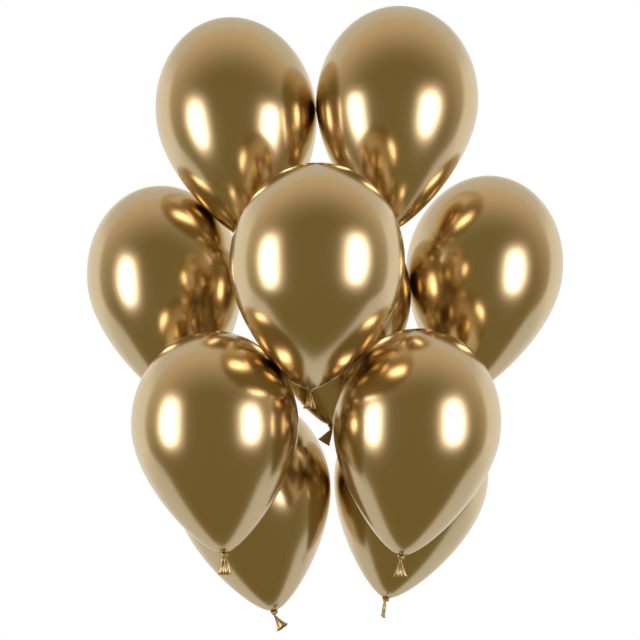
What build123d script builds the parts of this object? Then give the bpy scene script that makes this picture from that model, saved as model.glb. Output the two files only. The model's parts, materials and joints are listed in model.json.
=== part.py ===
"""A bunch of ten identical latex balloons with a mirror gold finish.

Every balloon is its own assembly: a thin inflated skin, the knot that closes its neck, the flattened
tail below the knot and the rolled lip round the tail's mouth. Dots of clear adhesive hold neighbouring
skins together. +X is to the right of the bunch's front, +Y runs to its back and +Z is up. The origin
is where the neck of the balloon at the middle of the back meets its knot.
"""
import os

from build123d import *

os.makedirs("parts", exist_ok=True)

# ---- driving dimensions, in mm and degrees ----
BELLY_RADIUS = 150.0    # half of the widest circle: a 12-inch balloon
CROWN_HEIGHT = 176.0    # from the widest circle up to the top of the crown
TAPER_LENGTH = 237.0    # from the widest circle down to the neck
FLANK_HANDLE = 106.0    # how far the flank runs on downwards before it turns in
TIP_HANDLE = 37.0       # half width of the blunt end around the neck
NECK_RADIUS = 6.0       # open end of the skin, closed by the knot
WALL = 0.4              # film, much thicker than the real film
ROUND = 0.5523          # handle length that makes a cubic curve a quarter of an ellipse

KNOT_SHOULDER = 7.0     # radius of the knot's flat top, against the skin
KNOT_RADIUS = 7.8
KNOT_FOOT = 2.6         # radius of the knot's small flat underside
KNOT_HEIGHT = 9.0
WRAP_RADIUS = 5.0       # the turn of film wound round the knot
WRAP_THICKNESS = 2.6
WRAP_TILT = 24.0

TAIL_GAP = 0.35         # free space between the knot and the tail's ball end
TAIL_ROOT = 2.2         # radius of the ball end, where the film is bunched up
TAIL_LENGTH = 27.0      # from the centre of the ball end to the mouth
TAIL_SPREAD = 10.0      # distance below the ball end at which the tail is half open
TAIL_HALF_WIDTH = 14.0
MOUTH_WIDTH = 24.0
MOUTH_DEPTH = 5.4
LIP_HEIGHT = 2.4
LIP_THICKNESS = 2.0
LIP_ROUNDING = 0.8

DOT_RADIUS = 5.5        # glue dot, squeezed between two skins
DOT_CREST = 2.0
DOT_RELIEF = 0.5        # free height left above the dot, so that the other skin can rock

# Each balloon: the centre of its widest circle, how far its knot end leans to the right and towards
# the front, its width and length against the sizes above, where its tail points and how far the flat
# of the tail is turned from facing the front.
BACK_LENGTH = 1.01
BALLOONS = {
    "back_centre": ((0, 0, TAPER_LENGTH * BACK_LENGTH), 0, 0, 1.00, BACK_LENGTH, (-5, -1, -8), 0),
    "front_centre": ((-27, -302, 294), -3, -23, 1.00, 0.99, (0, 1, -8), 0),
    "top_left": ((-178, -38, 582), 10, -1, 1.00, 1.03, (-7, -6, -5), 0),
    "top_right": ((120, -78, 600), -4, 0, 1.00, 1.00, (7, -6, -5), 0),
    "middle_left": ((-319, 42, 276), 8, 0, 0.99, 1.02, (-3, -2, -8), 0),
    "middle_right": ((294, 50, 296), -9, 0, 1.00, 1.02, (6, -5, -6), 0),
    "low_left": ((-208, -203, 11), 4, 1, 0.99, 0.95, (0, 0, -8), 0),
    "low_right": ((151, -176, 10), -7, 3, 1.00, 0.98, (0, 0, -8), 0),
    "bottom_left": ((-153, 66, -126), 10, 3, 1.01, 1.01, (5, -3, -7), 0),
    "bottom_right": ((156, 103, -111), -12, 4, 1.00, 1.00, (-1, 0, -8), 65),
}

# The skins that touch, each pair as carrier and carried. Every balloon but the first is carried once.
GLUED = [
    ("back_centre", "front_centre"),
    ("back_centre", "middle_right"),
    ("back_centre", "top_left"),
    ("back_centre", "low_right"),
    ("top_left", "top_right"),
    ("top_left", "middle_left"),
    ("front_centre", "low_left"),
    ("low_left", "bottom_left"),
    ("low_right", "bottom_right"),
]


def balloon_seat(centre, lean, nod):
    """Plane through the widest circle, its z axis running up to the crown."""
    upward = Vector(0, 0, 1).rotate(Axis.Y, -lean).rotate(Axis.X, -nod)
    across = Vector(0, 1, 0).cross(upward)
    return Plane(origin=centre, x_dir=across, z_dir=upward)


def side_view(seat):
    """Upright plane through a seat's axis, for outlines that are turned about that axis."""
    return Plane(origin=seat.origin, x_dir=seat.x_dir, z_dir=-seat.y_dir)


def tail_seat(knot_seat, aim, turn):
    """Plane at the tail's ball end: z runs down the tail to its mouth and x runs along its width."""
    pivot = knot_seat.offset(-KNOT_HEIGHT - TAIL_GAP - TAIL_ROOT).origin
    downward = Vector(*aim).normalized()
    across = downward.cross(Vector(0, 1, 0)).rotate(Axis((0, 0, 0), downward), turn)
    return Plane(origin=pivot, x_dir=across, z_dir=downward)


def keep(piece, node):
    """Label a finished piece and write its file."""
    piece.part.label = node
    export_step(piece.part, f"parts/{node}.step")


def make_skin(seat, width, length):
    """Inflated film: an elliptic crown over a flank that tapers to the neck."""
    belly = BELLY_RADIUS * width
    crown = CROWN_HEIGHT * length
    handle = FLANK_HANDLE * length
    neck = -TAPER_LENGTH * length
    tip = TIP_HANDLE * width
    inner_belly = belly - WALL
    inner_crown = crown - WALL
    inner_neck = neck + WALL
    with BuildPart() as skin:
        with BuildSketch(side_view(seat)):
            with BuildLine():
                Bezier((0, crown), (belly * ROUND, crown), (belly, crown * ROUND), (belly, 0))
                Bezier((belly, 0), (belly, -handle), (tip, neck), (NECK_RADIUS, neck))
                Line((NECK_RADIUS, neck), (NECK_RADIUS, inner_neck))
                Bezier(
                    (NECK_RADIUS, inner_neck),
                    (tip, inner_neck),
                    (inner_belly, -handle),
                    (inner_belly, 0),
                )
                Bezier(
                    (inner_belly, 0),
                    (inner_belly, inner_crown * ROUND),
                    (inner_belly * ROUND, inner_crown),
                    (0, inner_crown),
                )
                Line((0, inner_crown), (0, crown))
            make_face()
        revolve(axis=Axis(seat.origin, seat.z_dir))
    return skin


def make_knot(seat):
    """Bead of knotted film below the neck, with one turn wound slantwise round it."""
    with BuildPart() as knot:
        with BuildSketch(side_view(seat)):
            with BuildLine():
                Line((0, 0), (KNOT_SHOULDER, 0))
                ThreePointArc(
                    (KNOT_SHOULDER, 0),
                    (KNOT_RADIUS, -0.45 * KNOT_HEIGHT),
                    (KNOT_FOOT, -KNOT_HEIGHT),
                )
                Polyline((KNOT_FOOT, -KNOT_HEIGHT), (0, -KNOT_HEIGHT), (0, 0))
            make_face()
        revolve(axis=Axis(seat.origin, seat.z_dir))
        with Locations(seat.offset(-KNOT_HEIGHT / 2).rotated((WRAP_TILT, 0, 0)).location):
            Torus(WRAP_RADIUS + WRAP_THICKNESS / 2, WRAP_THICKNESS / 2)
    return knot


def make_tail(seat):
    """Flattened sleeve of film: bunched at the ball end, open at the mouth."""
    root = 2 * TAIL_ROOT
    half_open = (TAIL_SPREAD, TAIL_HALF_WIDTH, root + 0.4)
    mouth = (TAIL_LENGTH, MOUTH_WIDTH, MOUTH_DEPTH)
    with BuildPart() as tail:
        for distance, width, depth in [(0, root + 0.6, root), half_open, mouth]:
            with BuildSketch(seat.offset(distance)):
                SlotOverall(width, depth)
        loft()
        with Locations(seat.location):
            Sphere(TAIL_ROOT)
        for distance, width, depth in [(TAIL_SPREAD / 2, TAIL_HALF_WIDTH / 2, root), half_open, mouth]:
            with BuildSketch(seat.offset(distance)):
                SlotOverall(width - 2 * WALL, depth - 2 * WALL)
        loft(mode=Mode.SUBTRACT)
    return tail


def make_lip(seat):
    """Rolled bead of film round the tail's mouth."""
    with BuildPart() as lip:
        with BuildSketch(seat.offset(TAIL_LENGTH)):
            SlotOverall(MOUTH_WIDTH + LIP_THICKNESS, MOUTH_DEPTH + LIP_THICKNESS)
            SlotOverall(
                MOUTH_WIDTH - LIP_THICKNESS, MOUTH_DEPTH - LIP_THICKNESS, mode=Mode.SUBTRACT
            )
        extrude(amount=LIP_HEIGHT)
        ends = lip.edges().filter_by(lambda edge: abs(edge.tangent_at(0.5).dot(seat.z_dir)) < 0.5)
        fillet(ends, LIP_ROUNDING)
    return lip


def make_dot(carrier, carried):
    """Squeezed glue dot, seated on the carrier's skin where the two skins come closest."""
    here, there = carrier.part.closest_points(carried.part)
    facing = Plane(origin=here, z_dir=there - here)
    with BuildPart() as dot:
        with BuildSketch(facing):
            Circle(DOT_RADIUS)
        with BuildSketch(facing.offset((there - here).length - DOT_RELIEF)):
            Circle(DOT_CREST)
        loft()
    return dot


skins = {}
for name, (centre, lean, nod, width, length, aim, turn) in BALLOONS.items():
    seat = balloon_seat(centre, lean, nod)
    knot_seat = seat.offset(-TAPER_LENGTH * length)
    lower_seat = tail_seat(knot_seat, aim, turn)
    skins[name] = make_skin(seat, width, length)
    keep(skins[name], f"{name}_skin")
    keep(make_knot(knot_seat), f"{name}_knot")
    keep(make_tail(lower_seat), f"{name}_tail")
    keep(make_lip(lower_seat), f"{name}_lip")

for carrier, carried in GLUED:
    keep(make_dot(skins[carrier], skins[carried]), f"{carried}_glue_dot")
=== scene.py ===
"""Ten mirror-gold latex balloons stuck together, in a white studio with a tall softbox on each side."""
import json
import math

import bpy
import numpy as np
from mathutils import Matrix, Vector


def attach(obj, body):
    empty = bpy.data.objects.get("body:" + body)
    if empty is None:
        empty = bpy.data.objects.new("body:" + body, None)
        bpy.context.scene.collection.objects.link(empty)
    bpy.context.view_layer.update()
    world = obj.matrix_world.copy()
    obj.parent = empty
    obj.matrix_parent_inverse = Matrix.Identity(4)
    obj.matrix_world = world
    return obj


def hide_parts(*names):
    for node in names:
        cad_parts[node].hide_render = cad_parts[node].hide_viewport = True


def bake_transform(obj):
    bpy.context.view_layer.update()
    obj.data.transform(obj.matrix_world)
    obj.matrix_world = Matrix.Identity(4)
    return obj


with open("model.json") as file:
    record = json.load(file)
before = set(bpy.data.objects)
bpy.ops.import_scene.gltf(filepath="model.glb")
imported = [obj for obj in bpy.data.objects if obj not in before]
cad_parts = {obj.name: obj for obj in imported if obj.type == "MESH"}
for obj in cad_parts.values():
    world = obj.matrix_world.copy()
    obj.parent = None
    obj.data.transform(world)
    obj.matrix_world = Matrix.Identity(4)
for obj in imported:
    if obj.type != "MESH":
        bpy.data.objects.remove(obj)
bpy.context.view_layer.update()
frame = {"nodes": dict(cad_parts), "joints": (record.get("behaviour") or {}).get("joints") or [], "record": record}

mounts = {mount["name"]: mount for mount in frame["record"]["mounts"]}
joints = {joint["name"]: joint for joint in frame["joints"]}
balloon_names = [name[: -len("_neck")] for name in mounts if name.endswith("_neck")]
MM = 0.001

# ---- camera and studio, in metres and degrees; places are counted from the back balloon's neck ----
STUDIO_CENTRE = Vector((-0.022, -0.125, 0.197))   # the point the camera looks at
CAMERA_DISTANCE = 3.0
CAMERA_LENS = 92.7
CAMERA_SENSOR = 36.0
SOFTBOXES = {                                      # bearing from the camera side, width, brightness
    "softbox_left": (-60.0, 1.85, 4.8),
    "softbox_right": (48.0, 2.05, 4.8),
}
SOFTBOX_DISTANCE = 2.0
SOFTBOX_HEIGHT = 2.5
SOFTBOX_DROP = 0.12        # how far a panel's middle lies below the studio's centre
SOFTBOX_COLOUR = (1.0, 0.88, 0.86)
CORE_TIGHTNESS = 6.0       # a higher power makes the bright core narrower
CORE_ENDS = (0.4, 1.0)     # brightness along the panel at which the core starts and is full
SKIRT_SOFTNESS = 2.0
SKIRT_BRIGHTNESS = 1.6
WALL_COLOURS = ((0.205, 0.156, 0.058), (0.64, 0.515, 0.37))    # low and in front, then high and behind
WALL_SPAN = (-0.5, 0.8)
WALL_RISE = 0.6            # how much height counts beside depth
PAPER_COLOURS = ((0.62, 0.585, 0.53), (0.83, 0.79, 0.72))      # above and below, then level
PAPER_LEVEL = (0.55, 0.25)
PAPER_EDGE = (0.24, 0.31)  # how far back the walls end and the paper starts
PAPER_SIDES = (0.42, -0.07)    # the paper comes nearer at the sides, only low down
PAPER_LOW = (-0.3, -0.7)
FLOOR_DROP = 1.5
FLOOR_RADIUS = 1.6
FLOOR_FADE_START = 0.8
FLOOR_SIDES = 128

# ---- colours and finishes; where there are two colours a slow mottle runs between them ----
FILM_COLOURS = ((0.74, 0.60, 0.37), (0.77, 0.63, 0.395))
SLACK_COLOUR = (0.62, 0.46, 0.22)
FILM_ROUGHNESS = 0.185
CLOUDY_ROUGHNESS = 0.03
SLACK_ROUGHNESS = 0.14
THICK_COLOURS = ((0.52, 0.41, 0.20), (0.66, 0.54, 0.30))
# painted shade, laid into the knot's heart and folds, the tail's root and pleats and the lip's inner side
CREASE_SHADE_COLOUR = (0.20, 0.13, 0.04)
THICK_ROUGHNESS = 0.30
PATCHY_ROUGHNESS = 0.10
GLUE_COLOURS = ((0.93, 0.93, 0.90), (0.82, 0.82, 0.76))
GLUE_ROUGHNESS = 0.15
FLOOR_COLOURS = ((0.90, 0.90, 0.89), (0.94, 0.94, 0.93))

# ---- shape of a balloon, as shares of its own measured size ----
FLANK = 0.447          # how long the flank stays steep, as a share of the taper
TIP = 0.247            # half width of the blunt end, as a share of the belly radius
NECK_RADIUS = 6.0 * MM
THROAT_RADIUS = 2.6 * MM
THROAT_DEPTH = 3.0 * MM
WAIST_DEPTH = 1.2 * MM
WAIST = 0.62           # radius between the neck and the throat, as a share of the neck's
GATHER_DEPTH = 1.3 * MM
GATHER_REACH = 9.0 * MM
GATHER_WAVES = ((11, 1.0), (17, 0.7), (29, 0.5))    # number round the neck and strength
SWAY = 0.35 * MM
SWAY_WAVES = ((2, 1.0), (3, 0.6))
CROWDING = 1.25        # above 1, the rows lie closer together near the neck
AROUND = 192
CROWN_ROWS = 48
TAPER_ROWS = 84

# ---- knot and tail ----
KNOT_DROP = 0.40       # middle of the knot, as a share of the way from the neck to the tail's pivot
KNOT_TILT = 24.0
KNOT_SPREAD = 1.75 * MM
STRAND_RADIUS = 2.5 * MM
STRAND_FOLD = 0.13     # depths as shares of the strand's radius
STRAND_FINE_FOLD = 0.05
STRAND_SQUEEZE = 0.06
KNOT_HEART = 5.2 * MM  # painted shade darkens the knot from here inwards
HEART_FADE = 3.5 * MM
KNOT_STEPS = 150
STRAND_SIDES = 28
TAIL_ROOT_RADIUS = 2.3 * MM
MOUTH_HALF_WIDTH = 11.4 * MM
MOUTH_HALF_DEPTH = 2.5 * MM
FILM_THICKNESS = 0.35 * MM
LIP_RADIUS = 1.3 * MM
TAIL_PINCH = 0.9 * MM  # how much flatter the tail is half way down
TAIL_SIDES = 120
TAIL_ROWS = 36
LIP_SIDES = 18
TAIL_STYLES = {        # how late it widens, number of pleats, their depth, curl and slant of the mouth in mm
    "low_left": (0.42, 3, 1.1, 0.0, 1.3),
    "low_right": (1.05, 4, 0.8, 0.0, 0.6),
    "bottom_left": (1.5, 2, 0.6, 0.6, 1.1),
    "bottom_right": (0.7, 2, 0.8, 3.0, 0.3),
}
PLAIN_TAIL = (0.9, 3, 0.8, 0.9, 0.4)


def corners(node):
    """A CAD node's points in the row frame."""
    return np.array([v.co for v in frame["nodes"][node].data.vertices], float)


class Balloon:
    """Places and sizes of one balloon, measured on its CAD nodes, its mount and its tail's joint."""

    def __init__(self, name):
        self.name = name
        self.neck = Vector(mounts[f"{name}_neck"]["pos_m"])
        self.up = Vector(mounts[f"{name}_neck"]["axis"]).normalized()
        offsets = corners(f"{name}_skin") - np.array(self.neck)
        heights = offsets @ np.array(self.up)
        radii = np.linalg.norm(offsets - np.outer(heights, np.array(self.up)), axis=1)
        self.belly = float(radii.max())
        self.taper = float(heights[radii > self.belly - 0.01 * MM].mean())
        self.crown = float(heights.max()) - self.taper
        bend = joints[f"{name}_tail_bend"]
        self.pivot = Vector(bend["pos_m"])
        mouth = Vector(corners(f"{name}_lip").mean(axis=0))
        self.down = (mouth - self.pivot).normalized()
        self.tail = (mouth - self.pivot).length
        across = Vector(bend["axis"])
        self.across = (across - across.dot(self.down) * self.down).normalized()
        self.through = self.down.cross(self.across)

    def body_frame(self):
        """Turns points given along side, back and up from the neck into the row frame."""
        side = Vector((0, 1, 0)).cross(self.up).normalized()
        back = self.up.cross(side)
        turn = Matrix((side, back, self.up)).transposed()
        return Matrix.Translation(self.neck) @ turn.to_4x4()

    def tail_frame(self):
        """Turns points given across, through and down from the pivot into the row frame."""
        turn = Matrix((self.across, self.through, self.down)).transposed()
        return Matrix.Translation(self.pivot) @ turn.to_4x4()


# ------------------------------------------------------------------ mesh helpers

def grid_faces(rows, columns):
    """Quads of a grid whose columns close on themselves."""
    return [
        (r * columns + c, r * columns + (c + 1) % columns,
         (r + 1) * columns + (c + 1) % columns, (r + 1) * columns + c)
        for r in range(rows - 1)
        for c in range(columns)
    ]


def make_piece(name, points, faces, placing, material):
    """A smooth mesh object whose points are moved into the row frame."""
    mesh = bpy.data.meshes.new(name)
    mesh.from_pydata([placing @ Vector(point) for point in points], [], faces)
    mesh.shade_smooth()
    mesh.materials.append(material)
    piece = bpy.data.objects.new(name, mesh)
    bpy.context.scene.collection.objects.link(piece)
    return piece


def store(piece, name, values):
    """A number for each point, which the material reads."""
    attribute = piece.data.attributes.new(name, "FLOAT", "POINT")
    attribute.data.foreach_set("value", np.asarray(values, np.float32))


def ring_tube(path, radius, sides):
    """Points and faces of a ring-shaped tube along a closed path; radius may vary along and around it."""
    path = np.asarray(path, float)
    count = len(path)
    radii = np.broadcast_to(radius, (count, sides))
    ahead = np.roll(path, -1, axis=0) - np.roll(path, 1, axis=0)
    ahead /= np.linalg.norm(ahead, axis=1)[:, None]
    centre = path.mean(axis=0)
    outward = path - centre
    outward -= (outward * ahead).sum(axis=1)[:, None] * ahead
    outward /= np.linalg.norm(outward, axis=1)[:, None]
    beside = np.cross(ahead, outward)
    turn = np.linspace(0, 2 * math.pi, sides, endpoint=False)
    points = [
        path[i] + radii[i, k] * (math.cos(a) * outward[i] + math.sin(a) * beside[i])
        for i in range(count)
        for k, a in enumerate(turn)
    ]
    last = (count - 1) * sides
    closing = [(last + k, last + (k + 1) % sides, (k + 1) % sides, k) for k in range(sides)]
    return points, grid_faces(count, sides) + closing


# ------------------------------------------------------------------ node helpers

class Nodes:
    """Short calls that add nodes to one material's or world's tree and join them."""

    def __init__(self, tree):
        self.tree = tree
        tree.nodes.clear()

    def add(self, kind, **settings):
        node = self.tree.nodes.new(kind)
        for name, value in settings.items():
            setattr(node, name, value)
        return node

    def feed(self, socket, value):
        if isinstance(value, bpy.types.NodeSocket):
            self.tree.links.new(value, socket)
        else:
            socket.default_value = value

    def math(self, operation, *values):
        node = self.add("ShaderNodeMath", operation=operation)
        for socket, value in zip(node.inputs, values):
            self.feed(socket, value)
        return node.outputs[0]

    def step(self, value, low, high):
        """0 below low, 1 above high, smooth between."""
        node = self.add("ShaderNodeMapRange", interpolation_type="SMOOTHSTEP")
        self.feed(node.inputs["Value"], value)
        node.inputs["From Min"].default_value = low
        node.inputs["From Max"].default_value = high
        return node.outputs["Result"]

    def mix(self, share, first, second):
        node = self.add("ShaderNodeMix", data_type="RGBA")
        self.feed(node.inputs[0], share)
        self.feed(node.inputs[6], first)
        self.feed(node.inputs[7], second)
        return node.outputs[2]

    def mottle(self, share, colours):
        """From the first to the second of two colours."""
        return self.mix(share, colour(*colours[0]), colour(*colours[1]))

    def noise(self, vector, scale, detail=2.0):
        node = self.add("ShaderNodeTexNoise")
        self.feed(node.inputs["Vector"], vector)
        node.inputs["Scale"].default_value = scale
        node.inputs["Detail"].default_value = detail
        return node.outputs["Fac"]

    def position(self):
        return self.add("ShaderNodeTexCoord").outputs["Object"]

    def attribute(self, name):
        return self.add("ShaderNodeAttribute", attribute_name=name).outputs["Fac"]

    def bump(self, height, strength, distance):
        node = self.add("ShaderNodeBump")
        node.inputs["Strength"].default_value = strength
        node.inputs["Distance"].default_value = distance
        self.feed(node.inputs["Height"], height)
        return node.outputs["Normal"]

    def surface(self, shading):
        output = self.add("ShaderNodeOutputMaterial")
        self.feed(output.inputs["Surface"], shading)


def new_material(name):
    material = bpy.data.materials.new(name)
    material.use_nodes = True
    return material, Nodes(material.node_tree)


def colour(red, green, blue):
    return (red, green, blue, 1.0)


# ------------------------------------------------------------------ materials

def gold_film():
    """Stretched film: a soft-edged gold mirror, deeper in colour where the film is less stretched."""
    material, nodes = new_material("gold_film")
    place = nodes.position()
    cloudy = nodes.noise(place, 14.0, 3.0)
    slack = nodes.attribute("slack")
    shader = nodes.add("ShaderNodeBsdfPrincipled")
    stretched = nodes.mottle(cloudy, FILM_COLOURS)
    nodes.feed(shader.inputs["Base Color"], nodes.mix(slack, stretched, colour(*SLACK_COLOUR)))
    grain = nodes.math("MULTIPLY_ADD", cloudy, CLOUDY_ROUGHNESS, FILM_ROUGHNESS)
    nodes.feed(shader.inputs["Roughness"], nodes.math("MULTIPLY_ADD", slack, SLACK_ROUGHNESS, grain))
    shader.inputs["Metallic"].default_value = 1.0
    shader.inputs["Coat Weight"].default_value = 0.3
    shader.inputs["Coat Roughness"].default_value = 0.06
    fine = nodes.noise(place, 900.0, 2.0)
    nodes.feed(shader.inputs["Normal"], nodes.bump(fine, 0.05, 0.0002))
    nodes.surface(shader.outputs["BSDF"])
    return material


def gold_thick():
    """Unstretched film of the knot, tail and lip: satin gold, with brown painted shade in the creases and
    recesses.
    """
    material, nodes = new_material("gold_thick")
    place = nodes.position()
    crease_shade = nodes.attribute("crease_shade")
    patchy = nodes.noise(place, 160.0, 3.0)
    shader = nodes.add("ShaderNodeBsdfPrincipled")
    plain = nodes.mottle(patchy, THICK_COLOURS)
    # painted shade: the stored value darkens creases and recesses towards brown
    nodes.feed(shader.inputs["Base Color"], nodes.mix(crease_shade, plain, colour(*CREASE_SHADE_COLOUR)))
    grain = nodes.math("MULTIPLY_ADD", patchy, PATCHY_ROUGHNESS, THICK_ROUGHNESS)
    nodes.feed(shader.inputs["Roughness"], grain)
    shader.inputs["Metallic"].default_value = 0.9
    wrinkles = nodes.noise(place, 600.0, 4.0)
    nodes.feed(shader.inputs["Normal"], nodes.bump(wrinkles, 0.35, 0.0004))
    nodes.surface(shader.outputs["BSDF"])
    return material


def clear_glue():
    """Soft clear adhesive with a faint milky mottle."""
    material, nodes = new_material("clear_glue")
    milky = nodes.noise(nodes.position(), 400.0, 2.0)
    shader = nodes.add("ShaderNodeBsdfPrincipled")
    nodes.feed(shader.inputs["Base Color"], nodes.mottle(milky, GLUE_COLOURS))
    nodes.feed(shader.inputs["Roughness"], nodes.math("MULTIPLY_ADD", milky, 0.1, GLUE_ROUGHNESS))
    shader.inputs["Transmission Weight"].default_value = 0.9
    shader.inputs["IOR"].default_value = 1.45
    nodes.surface(shader.outputs["BSDF"])
    return material


def pale_floor():
    """Matt white paper that thins out towards its round edge."""
    material, nodes = new_material("pale_floor")
    place = nodes.position()
    soft = nodes.noise(place, 3.0, 2.0)
    shader = nodes.add("ShaderNodeBsdfPrincipled")
    paper = nodes.mottle(soft, FLOOR_COLOURS)
    nodes.feed(shader.inputs["Base Color"], paper)
    nodes.feed(shader.inputs["Emission Color"], paper)
    shader.inputs["Emission Strength"].default_value = 0.35
    shader.inputs["Roughness"].default_value = 0.8
    reach = nodes.add("ShaderNodeVectorMath", operation="LENGTH")
    nodes.feed(reach.inputs[0], place)
    solid = nodes.step(reach.outputs["Value"], FLOOR_RADIUS, FLOOR_FADE_START)
    nodes.feed(shader.inputs["Alpha"], solid)
    nodes.surface(shader.outputs["BSDF"])
    return material


def softbox_glow(name, brightness):
    """A bright upright core within a wide faint skirt; what is behind the panel still shows."""
    material, nodes = new_material(name)
    split = nodes.add("ShaderNodeSeparateXYZ")
    nodes.feed(split.inputs[0], nodes.add("ShaderNodeTexCoord").outputs["Generated"])
    fading = []
    for axis in (0, 1):
        angle = nodes.math("MULTIPLY_ADD", split.outputs[axis], math.pi, -math.pi / 2)
        fading.append(nodes.math("COSINE", angle))
    wide = nodes.math("POWER", nodes.math("MULTIPLY", *fading), SKIRT_SOFTNESS)
    skirt = nodes.math("MULTIPLY", wide, SKIRT_BRIGHTNESS)
    narrow = nodes.math("POWER", fading[0], CORE_TIGHTNESS)
    tall = nodes.step(fading[1], *CORE_ENDS)
    glow = nodes.math("MULTIPLY_ADD", nodes.math("MULTIPLY", narrow, tall), brightness, skirt)
    emission = nodes.add("ShaderNodeEmission")
    emission.inputs["Color"].default_value = colour(*SOFTBOX_COLOUR)
    nodes.feed(emission.inputs["Strength"], glow)
    clear = nodes.add("ShaderNodeBsdfTransparent")
    both = nodes.add("ShaderNodeAddShader")
    nodes.feed(both.inputs[0], emission.outputs["Emission"])
    nodes.feed(both.inputs[1], clear.outputs["BSDF"])
    nodes.surface(both.outputs["Shader"])
    return material


# ------------------------------------------------------------------ balloon pieces

def skin_profile(balloon):
    """Radius and height above the neck, from the throat in the knot up to the crown."""
    t = np.linspace(1, 0, TAPER_ROWS) ** CROWDING
    handle = balloon.taper * (1 - FLANK)
    tip = TIP * balloon.belly
    radius = ((1 - t) ** 3 * balloon.belly + 3 * (1 - t) ** 2 * t * balloon.belly
              + 3 * (1 - t) * t ** 2 * tip + t ** 3 * NECK_RADIUS)
    height = (1 - t) ** 3 * balloon.taper + 3 * (1 - t) ** 2 * t * handle
    rise = np.linspace(0, math.pi / 2, CROWN_ROWS)[1:-1]
    crown_radius = balloon.belly * np.cos(rise)
    crown_height = balloon.taper + balloon.crown * np.sin(rise)
    throat = np.array([[THROAT_RADIUS, -THROAT_DEPTH], [WAIST * NECK_RADIUS, -WAIST_DEPTH]])
    body = np.column_stack([np.r_[radius, crown_radius], np.r_[height, crown_height]])
    return np.vstack([throat, body])


def ripple(waves, angles, shifts):
    """Sum of waves round the balloon, each with its own strength and shift."""
    total = 0
    for (number, strength), shift in zip(waves, shifts):
        total = total + strength * np.cos(number * angles + shift)
    return total


def make_skin(balloon, material, seed):
    """Inflated film with small radial gathers where it runs into the knot."""
    profile = skin_profile(balloon)
    angles = np.linspace(0, 2 * math.pi, AROUND, endpoint=False)
    waves = len(GATHER_WAVES) + len(SWAY_WAVES)
    shifts = np.random.default_rng(seed).uniform(0, 2 * math.pi, waves)
    gather = ripple(GATHER_WAVES, angles, shifts)
    gather = gather / sum(strength for _, strength in GATHER_WAVES)
    sway = ripple(SWAY_WAVES, angles, shifts[len(GATHER_WAVES):])
    whole = balloon.taper + balloon.crown
    points = []
    slack = []
    for radius, height in profile:
        near_neck = height < balloon.taper / 2
        pull = math.exp(-max(radius - NECK_RADIUS, 0) / GATHER_REACH) if near_neck else 0
        reach = math.sin(math.pi * min(max(height / whole, 0), 1))
        local = radius + SWAY * sway * reach
        lift = GATHER_DEPTH * gather * pull * (1 if height > 0 else 0.4)
        for ring, raised, angle in zip(local, lift, angles):
            points.append((ring * math.cos(angle), ring * math.sin(angle), height - raised))
        slack += [pull] * AROUND
    top = len(points)
    points.append((0, 0, whole))
    slack.append(0)
    rows = len(profile)
    faces = grid_faces(rows, AROUND)
    last = (rows - 1) * AROUND
    faces += [(last + c, last + (c + 1) % AROUND, top) for c in range(AROUND)]
    faces.append(tuple(range(AROUND - 1, -1, -1)))
    piece = make_piece(f"{balloon.name}_film", points, faces, balloon.body_frame(), material)
    store(piece, "slack", slack)
    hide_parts(f"{balloon.name}_skin")
    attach(piece, balloon.name)


def make_knot(balloon, material, seed):
    """Overhand knot of bunched film, pulled tight against the skin."""
    turn = np.linspace(0, 2 * math.pi, KNOT_STEPS, endpoint=False)
    along = turn + 0.7 * seed
    loops = np.column_stack([
        np.sin(along) + 2 * np.sin(2 * along),
        np.cos(along) - 2 * np.cos(2 * along),
        -1.1 * np.sin(3 * along),
    ])
    around = np.linspace(0, 2 * math.pi, STRAND_SIDES, endpoint=False)
    folds = STRAND_FOLD * np.cos(5 * around[None, :] + 2 * turn[:, None])
    folds = folds + STRAND_FINE_FOLD * np.cos(9 * around[None, :] - 3 * turn[:, None])
    squeeze = STRAND_SQUEEZE * np.sin(7 * turn)[:, None]
    radii = STRAND_RADIUS * (1 + folds + squeeze)
    points, faces = ring_tube(loops * KNOT_SPREAD, radii, STRAND_SIDES)
    drop = (balloon.pivot - balloon.neck).length * KNOT_DROP
    lean = Matrix.Rotation(math.radians(KNOT_TILT), 4, "X")
    placing = balloon.body_frame() @ Matrix.Translation((0, 0, -drop)) @ lean
    piece = make_piece(f"{balloon.name}_overhand_knot", points, faces, placing, material)
    # painted shade: darker towards the knot's heart and in the hollows of its folds
    away = np.linalg.norm(np.array(points), axis=1)
    depth = np.clip((KNOT_HEART - away) / HEART_FADE, 0, 1)
    store(piece, "crease_shade", np.clip(depth - 3.0 * folds.ravel(), 0, 1))
    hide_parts(f"{balloon.name}_knot")
    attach(piece, balloon.name)


def tail_ring(share, balloon, turn):
    """One section of the tail, given from the pivot, and how deep each point lies in a pleat, which sets its
    painted shade.
    """
    widen, pleats, depth, curl, slant = TAIL_STYLES.get(balloon.name, PLAIN_TAIL)
    half_width = TAIL_ROOT_RADIUS + (MOUTH_HALF_WIDTH - TAIL_ROOT_RADIUS) * share ** widen
    half_depth = TAIL_ROOT_RADIUS + (MOUTH_HALF_DEPTH - TAIL_ROOT_RADIUS) * share
    half_depth -= TAIL_PINCH * math.sin(math.pi * share)
    side = np.cos(turn)
    wave = np.sin(pleats * math.pi * side + 0.6) * (1 - side ** 4)
    pleat = depth * MM * min(1, 4 * share) * (1 - 0.75 * share ** 3) * wave
    bulge = half_depth * np.sign(np.sin(turn)) * np.abs(np.sin(turn)) ** 0.7
    through = bulge + pleat + curl * MM * share ** 2 * side
    length = balloon.tail - LIP_RADIUS
    away_from_front = math.copysign(1, balloon.through.y) * bulge / half_depth
    down = length * share + slant * MM * share ** 4 * away_from_front - 0.3 * MM * share * wave
    deep = 0.5 - 0.5 * wave * np.sign(np.sin(turn))
    return np.column_stack([half_width * side, through, down]), deep


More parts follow.
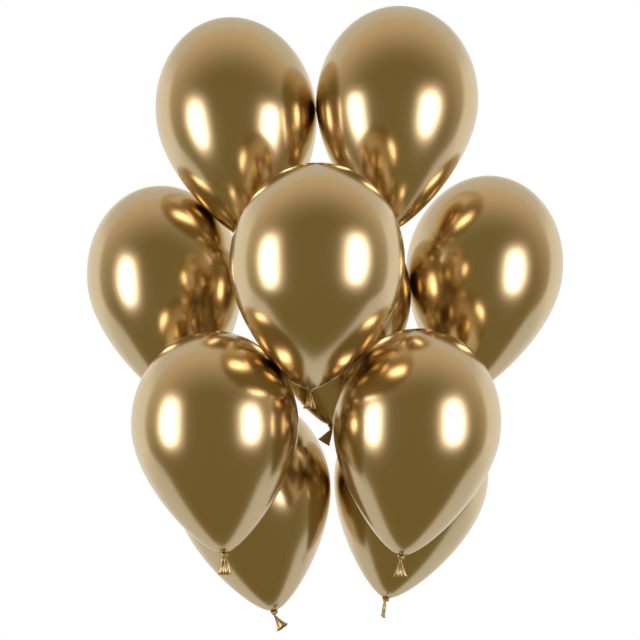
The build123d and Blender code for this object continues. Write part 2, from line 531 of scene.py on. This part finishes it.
def make_tail(balloon, material):
    """Flattened pleated neck that comes out of the knot, and the rolled lip round its open mouth."""
    turn = np.linspace(0, 2 * math.pi, TAIL_SIDES, endpoint=False)
    knot_middle = balloon.neck + (balloon.pivot - balloon.neck) * KNOT_DROP
    into_knot = balloon.tail_frame().inverted() @ knot_middle
    root, _ = tail_ring(0, balloon, turn)
    points = []
    crease_shade = []
    for share in (1.0, 0.75, 0.5, 0.25):
        points += (root * (1 - 0.25 * share) + np.array(into_knot) * share).tolist()
        # a little painted shade where the tail runs into the knot
        crease_shade += [0.3] * TAIL_SIDES
    for share in np.linspace(0, 1, TAIL_ROWS):
        ring, deep = tail_ring(share, balloon, turn)
        points += ring.tolist()
        # painted shade in the pleats' valleys, fading towards the mouth
        crease_shade += (0.8 * deep ** 2 * (1 - 0.5 * share)).tolist()
    faces = grid_faces(len(points) // TAIL_SIDES, TAIL_SIDES)
    sleeve = make_piece(f"{balloon.name}_neck_sleeve", points, faces, balloon.tail_frame(), material)
    store(sleeve, "crease_shade", crease_shade)
    film = sleeve.modifiers.new("film", "SOLIDIFY")
    film.thickness = FILM_THICKNESS
    film.offset = -1
    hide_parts(f"{balloon.name}_tail")
    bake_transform(sleeve)
    mouth, _ = tail_ring(1, balloon, turn)
    roll, faces = ring_tube(mouth, LIP_RADIUS, LIP_SIDES)
    lip = make_piece(f"{balloon.name}_rolled_lip", roll, faces, balloon.tail_frame(), material)
    # painted shade on the lip's inner side, round the open mouth
    side = np.arange(len(roll)) % LIP_SIDES
    inside = (side > LIP_SIDES / 3) & (side < 2 * LIP_SIDES / 3)
    store(lip, "crease_shade", 0.35 * inside)
    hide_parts(f"{balloon.name}_lip")
    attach(lip, f"{balloon.name}_tail")


# ------------------------------------------------------------------ studio

def studio_world():
    """Plain white to look at. The film mirrors pale paper behind, and walls darker to the front and low."""
    world = bpy.data.worlds.new("studio")
    bpy.context.scene.world = world
    world.use_nodes = True
    nodes = Nodes(world.node_tree)
    split = nodes.add("ShaderNodeSeparateXYZ")
    nodes.feed(split.inputs[0], nodes.add("ShaderNodeTexCoord").outputs["Generated"])
    right, back, up = split.outputs
    lit = nodes.step(nodes.math("MULTIPLY_ADD", up, WALL_RISE, back), *WALL_SPAN)
    walls = nodes.mottle(lit, WALL_COLOURS)
    level = nodes.step(nodes.math("ABSOLUTE", up), *PAPER_LEVEL)
    paper = nodes.mottle(level, PAPER_COLOURS)
    sideways = nodes.math("MULTIPLY_ADD", nodes.math("ABSOLUTE", right), *PAPER_SIDES)
    nearer = nodes.math("MULTIPLY", sideways, nodes.step(up, *PAPER_LOW))
    beyond_edge = nodes.step(nodes.math("ADD", back, nearer), *PAPER_EDGE)
    seen = nodes.mix(beyond_edge, walls, paper)
    background = nodes.add("ShaderNodeBackground")
    nodes.feed(background.inputs["Color"], seen)
    white = nodes.add("ShaderNodeBackground")
    nodes.feed(white.inputs["Color"], colour(1, 1, 1))
    direct = nodes.add("ShaderNodeLightPath").outputs["Is Camera Ray"]
    choose = nodes.add("ShaderNodeMixShader")
    nodes.feed(choose.inputs[0], direct)
    nodes.feed(choose.inputs[1], background.outputs[0])
    nodes.feed(choose.inputs[2], white.outputs[0])
    output = nodes.add("ShaderNodeOutputWorld")
    nodes.feed(output.inputs["Surface"], choose.outputs[0])


def make_softbox(name, bearing, width, brightness):
    """A tall glowing panel beside the camera, facing the balloons."""
    bpy.ops.mesh.primitive_plane_add(size=1)
    panel = bpy.context.object
    panel.name = name
    angle = math.radians(bearing)
    offset = Vector((math.sin(angle), -math.cos(angle), 0)) * SOFTBOX_DISTANCE
    facing = (-offset).to_track_quat("Z", "Y").to_matrix().to_4x4()
    size = Matrix.Diagonal((width, SOFTBOX_HEIGHT, 1, 1))
    offset.z = -SOFTBOX_DROP
    panel.matrix_world = Matrix.Translation(STUDIO_CENTRE + offset) @ facing @ size
    panel.data.materials.append(softbox_glow(f"{name}_glow", brightness))
    panel.visible_camera = False


def make_floor():
    """A disc below the balloons that the film doesn't mirror."""
    bpy.ops.mesh.primitive_circle_add(vertices=FLOOR_SIDES, radius=FLOOR_RADIUS, fill_type="NGON")
    floor = bpy.context.object
    floor.name = "floor"
    floor.location = STUDIO_CENTRE - Vector((0, 0, FLOOR_DROP))
    floor.data.materials.append(pale_floor())
    floor.visible_glossy = False


def make_camera():
    data = bpy.data.cameras.new("camera")
    data.lens = CAMERA_LENS
    data.sensor_width = CAMERA_SENSOR
    camera = bpy.data.objects.new("camera", data)
    camera.location = STUDIO_CENTRE - Vector((0, CAMERA_DISTANCE, 0))
    camera.rotation_euler = (math.radians(90), 0, 0)
    bpy.context.scene.collection.objects.link(camera)
    bpy.context.scene.camera = camera


# ------------------------------------------------------------------ the scene

bpy.context.scene.view_settings.view_transform = "Standard"
make_camera()
studio_world()
make_floor()
for name, (bearing, width, brightness) in SOFTBOXES.items():
    make_softbox(name, bearing, width, brightness)

film_material = gold_film()
thick_material = gold_thick()
for number, name in enumerate(balloon_names):
    balloon = Balloon(name)
    make_skin(balloon, film_material, number)
    make_knot(balloon, thick_material, number)
    make_tail(balloon, thick_material)

glue = clear_glue()
for name, node in frame["nodes"].items():
    if name.endswith("_glue_dot"):
        node.data.materials.clear()
        node.data.materials.append(glue)
